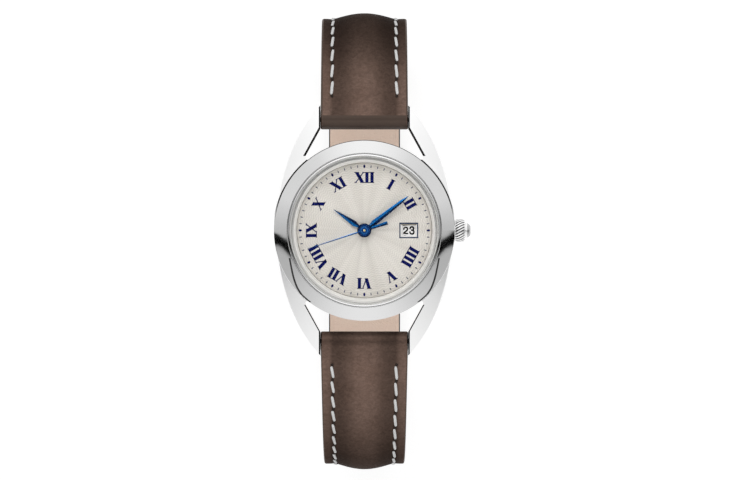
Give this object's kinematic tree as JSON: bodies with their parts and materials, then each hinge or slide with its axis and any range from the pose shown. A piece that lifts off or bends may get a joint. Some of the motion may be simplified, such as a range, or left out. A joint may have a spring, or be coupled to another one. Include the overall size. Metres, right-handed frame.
{
  "type": "quartz watch",
  "caption": "Round dress wristwatch with stirrup arms, fluted crown, three hands, date window and padded leather strap with a tang buckle.",
  "frame": {"origin": "the point on the table under the middle of the dial, on the flat outer face of the 6 o'clock strap half", "axes": "+Z out of the dial, +Y towards 12 o'clock, +X towards the crown"},
  "size_m": [0.033, 0.0762, 0.0545],
  "materials": {
    "case_steel": "polished stainless steel",
    "bezel_steel": "satin stainless steel",
    "crown_steel": "polished stainless steel",
    "crystal_glass": "clear, polished",
    "white_nylon": "moulded",
    "black_rubber": "moulded",
    "ivory_plastic": "moulded",
    "movement_steel": "fine ground steel",
    "silvered_dial": "silvered, with a stamped ray pattern",
    "blued_steel": "blued and polished",
    "gilt_brass": "gilt",
    "battery_steel": "nickel-plated steel",
    "green_board": "lacquered board",
    "black_plastic": "moulded",
    "copper_wire": "enamelled copper wire",
    "dark_magnet": "sintered magnet",
    "white_acetal": "moulded acetal",
    "white_date_ring": "printed white",
    "nickel_bridge": "nickel-plated",
    "strap_leather": "smooth calf, satin",
    "lining_leather": "natural lining leather, matt",
    "buckle_steel": "polished stainless steel"
  },
  "bodies": {
    "case": {"mid_case": "case_steel", "bezel": "bezel_steel", "crystal": "crystal_glass", "crystal_gasket": "white_nylon", "flange_ring": "case_steel", "case_back": "case_steel", "case_back_gasket": "black_rubber", "crown_tube": "case_steel", "movement_holder": "ivory_plastic", "yoke": "movement_steel", "dial": "silvered_dial", "main_plate": "gilt_brass", "battery": "battery_steel", "battery_clamp": "movement_steel", "circuit_board": "green_board", "chip": "black_plastic", "quartz_can": "battery_steel", "coil": "copper_wire", "coil_core": "movement_steel", "stator": "movement_steel", "date_jumper": "movement_steel", "date_plate": "movement_steel", "train_bridge": "nickel_bridge", "movement_screws": "movement_steel", "spring_bar_tubes": "movement_steel", "spring_bar_tips": "movement_steel"},
    "seconds": {"seconds_hand": "blued_steel", "seconds_wheel": "gilt_brass"},
    "minutes": {"minute_hand": "blued_steel", "centre_wheel": "gilt_brass"},
    "hours": {"hour_hand": "blued_steel", "hour_wheel": "gilt_brass"},
    "third": {"third_wheel": "gilt_brass"},
    "intermediate": {"intermediate_wheel": "white_acetal"},
    "rotor": {"rotor": "dark_magnet"},
    "motion": {"minute_wheel": "gilt_brass"},
    "setting": {"setting_wheel": "gilt_brass"},
    "date_drive": {"date_wheel": "white_acetal"},
    "date": {"date_ring": "white_date_ring"},
    "clutch": {"clutch": "movement_steel"},
    "winder": {"crown": "crown_steel", "crown_gasket": "black_rubber", "stem": "movement_steel"},
    "lever": {"setting_lever": "movement_steel"},
    "strap_12": {"strap_12_leather": "strap_leather", "strap_12_lining": "lining_leather", "fixed_keeper": "strap_leather", "buckle_bar": "movement_steel"},
    "keeper": {"loose_keeper": "strap_leather"},
    "buckle": {"buckle_frame": "buckle_steel"},
    "tongue": {"buckle_tongue": "buckle_steel"},
    "strap_6": {"strap_6_leather": "strap_leather", "strap_6_lining": "lining_leather"}
  },
  "joints": [
    {"name": "seconds_turn", "type": "hinge", "parent": "case", "child": "seconds", "pos_m": [0, 0, 0.0485], "axis": [0, 0, -1], "continuous": true},
    {"name": "minutes_turn", "type": "hinge", "parent": "case", "child": "minutes", "pos_m": [0, 0, 0.0485], "axis": [0, 0, -1], "continuous": true},
    {"name": "hours_turn", "type": "hinge", "parent": "case", "child": "hours", "pos_m": [0, 0, 0.0485], "axis": [0, 0, -1], "continuous": true},
    {"name": "third_turn", "type": "hinge", "parent": "case", "child": "third", "pos_m": [-0.00319, -0.00116, 0.0485], "axis": [0, 0, -1], "continuous": true},
    {"name": "intermediate_turn", "type": "hinge", "parent": "case", "child": "intermediate", "pos_m": [0.00058, 0.0033, 0.0485], "axis": [0, 0, -1], "continuous": true},
    {"name": "rotor_turn", "type": "hinge", "parent": "case", "child": "rotor", "pos_m": [0.00173, 0.00467, 0.0485], "axis": [0, 0, -1], "continuous": true},
    {"name": "motion_turn", "type": "hinge", "parent": "case", "child": "motion", "pos_m": [0.00237, 0.00115, 0.0485], "axis": [0, 0, -1], "continuous": true},
    {"name": "setting_turn", "type": "hinge", "parent": "case", "child": "setting", "pos_m": [0.00475, 0, 0.0485], "axis": [0, 0, -1], "continuous": true},
    {"name": "date_drive_turn", "type": "hinge", "parent": "case", "child": "date_drive", "pos_m": [-0.00304, 0.00176, 0.0485], "axis": [0, 0, -1], "continuous": true},
    {"name": "date_turn", "type": "hinge", "parent": "case", "child": "date", "pos_m": [0, 0, 0.0485], "axis": [0, 0, -1], "continuous": true},
    {"name": "crown_turn", "type": "hinge", "parent": "case", "child": "clutch", "pos_m": [0.0062, 0, 0.0492], "axis": [1, 0, 0], "continuous": true},
    {"name": "crown_pull", "type": "slide", "parent": "clutch", "child": "winder", "axis": [1, 0, 0], "range_m": [0, 0.0008]},
    {"name": "lever_swing", "type": "hinge", "parent": "case", "child": "lever", "pos_m": [0.0085, 0.0022, 0.0497], "axis": [0, 0, 1], "range_deg": [0, 21.5]},
    {"name": "strap_12_swing", "type": "hinge", "parent": "case", "child": "strap_12", "pos_m": [0, 0.0184, 0.0481], "axis": [1, 0, 0], "range_deg": [0, 75]},
    {"name": "strap_6_swing", "type": "hinge", "parent": "case", "child": "strap_6", "pos_m": [0, -0.0184, 0.0481], "axis": [-1, 0, 0], "range_deg": [0, 75]},
    {"name": "loose_keeper_move", "type": "hinge", "parent": "strap_12", "child": "keeper", "pos_m": [0, 0.01426, 0.0211], "axis": [1, 0, 0], "range_deg": [0, 16]},
    {"name": "buckle_swing", "type": "hinge", "parent": "strap_12", "child": "buckle", "pos_m": [0, 0.0119, 0.0011], "axis": [-1, 0, 0], "range_deg": [0, 100]},
    {"name": "tongue_swing", "type": "hinge", "parent": "strap_12", "child": "tongue", "pos_m": [0, 0.0119, 0.0011], "axis": [1, 0, 0], "range_deg": [0, 100]}
  ],
  "couplings": [
    {"joint": "third_turn", "follows": "seconds_turn", "ratio": -0.13333},
    {"joint": "minutes_turn", "follows": "seconds_turn", "ratio": 0.016667},
    {"joint": "motion_turn", "follows": "seconds_turn", "ratio": -0.0055556},
    {"joint": "hours_turn", "follows": "seconds_turn", "ratio": 0.0013889},
    {"joint": "setting_turn", "follows": "seconds_turn", "ratio": 0.016667},
    {"joint": "date_drive_turn", "follows": "seconds_turn", "ratio": -0.00069444},
    {"joint": "intermediate_turn", "follows": "seconds_turn", "ratio": -5},
    {"joint": "rotor_turn", "follows": "seconds_turn", "ratio": 30},
    {"joint": "lever_swing", "follows": "crown_pull", "rad_per_m": 465}
  ]
}
